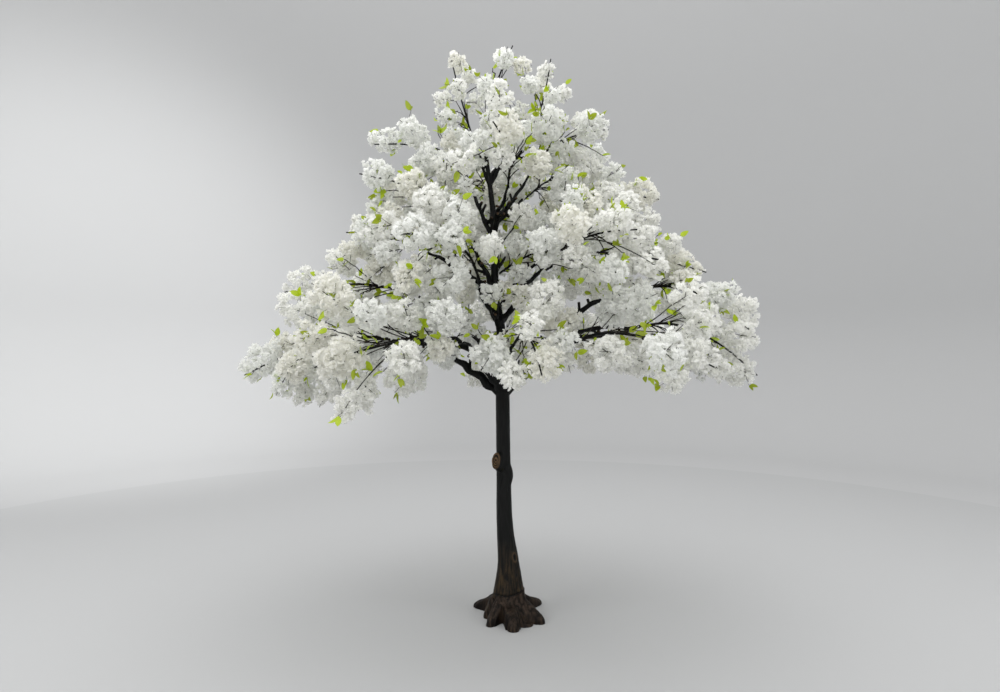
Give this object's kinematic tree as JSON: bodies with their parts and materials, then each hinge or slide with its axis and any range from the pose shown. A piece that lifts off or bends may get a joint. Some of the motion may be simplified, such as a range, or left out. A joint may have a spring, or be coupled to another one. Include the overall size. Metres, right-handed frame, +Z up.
{
  "type": "artificial flowering tree",
  "caption": "Free-standing artificial tree in white blossom: moulded trunk on a root-shaped foot, boughs in tiers and masses of blossom with young leaves",
  "frame": {"origin": "on the floor under the middle of the moulded foot, at the centre of the trunk's seam seen from above", "axes": "+Z up; the tree faces -Y, the side that the picture shows, with +X to its right"},
  "size_m": [2.68, 2.0873, 3.001],
  "materials": {
    "bark": "moulded bark relief, near-black brown, matte with a slight sheen on the ridges",
    "foot_bark": "moulded root relief, dark brown with a dry-brushed lighter brown on the ridges",
    "blossom": "white dyed cloth petals, matte, slightly translucent",
    "leaf": "young leaf of coated cloth, bright yellow-green, soft satin",
    "twig": "dark brown plastic over wire, matte"
  },
  "bodies": {
    "root": {"blossom_back": "blossom", "blossom_back_left": "blossom", "blossom_back_right": "blossom", "blossom_front": "blossom", "blossom_front_left": "blossom", "blossom_front_right": "blossom", "blossom_high_left": "blossom", "blossom_inner_back": "blossom", "blossom_inner_front": "blossom", "blossom_inner_left": "blossom", "blossom_inner_right": "blossom", "blossom_low_left": "blossom", "blossom_low_right": "blossom", "blossom_mid_back_left": "blossom", "blossom_mid_back_right": "blossom", "blossom_mid_front_left": "blossom", "blossom_mid_front_right": "blossom", "blossom_mid_left": "blossom", "blossom_mid_left_up": "blossom", "blossom_mid_right": "blossom", "blossom_mid_right_out": "blossom", "blossom_right_side": "blossom", "blossom_top": "blossom", "blossom_top_back": "blossom", "blossom_top_left": "blossom", "blossom_top_right": "blossom", "blossom_upper_back_left": "blossom", "blossom_upper_back_right": "blossom", "blossom_upper_front": "blossom", "blossom_upper_left": "blossom", "blossom_upper_right": "blossom", "bough_back": "bark", "bough_back_left": "bark", "bough_back_right": "bark", "bough_front": "bark", "bough_front_left": "bark", "bough_front_right": "bark", "bough_high_left": "bark", "bough_low_left": "bark", "bough_low_right": "bark", "bough_mid_back_left": "bark", "bough_mid_back_right": "bark", "bough_mid_front_left": "bark", "bough_mid_front_right": "bark", "bough_mid_left": "bark", "bough_mid_left_up": "bark", "bough_mid_right": "bark", "bough_mid_right_out": "bark", "bough_right_side": "bark", "bough_top_back": "bark", "bough_top_left": "bark", "bough_top_right": "bark", "bough_upper_back_left": "bark", "bough_upper_back_right": "bark", "bough_upper_front": "bark", "bough_upper_left": "bark", "bough_upper_right": "bark", "root_foot": "foot_bark", "trunk": "bark"}
  },
  "joints": []
}
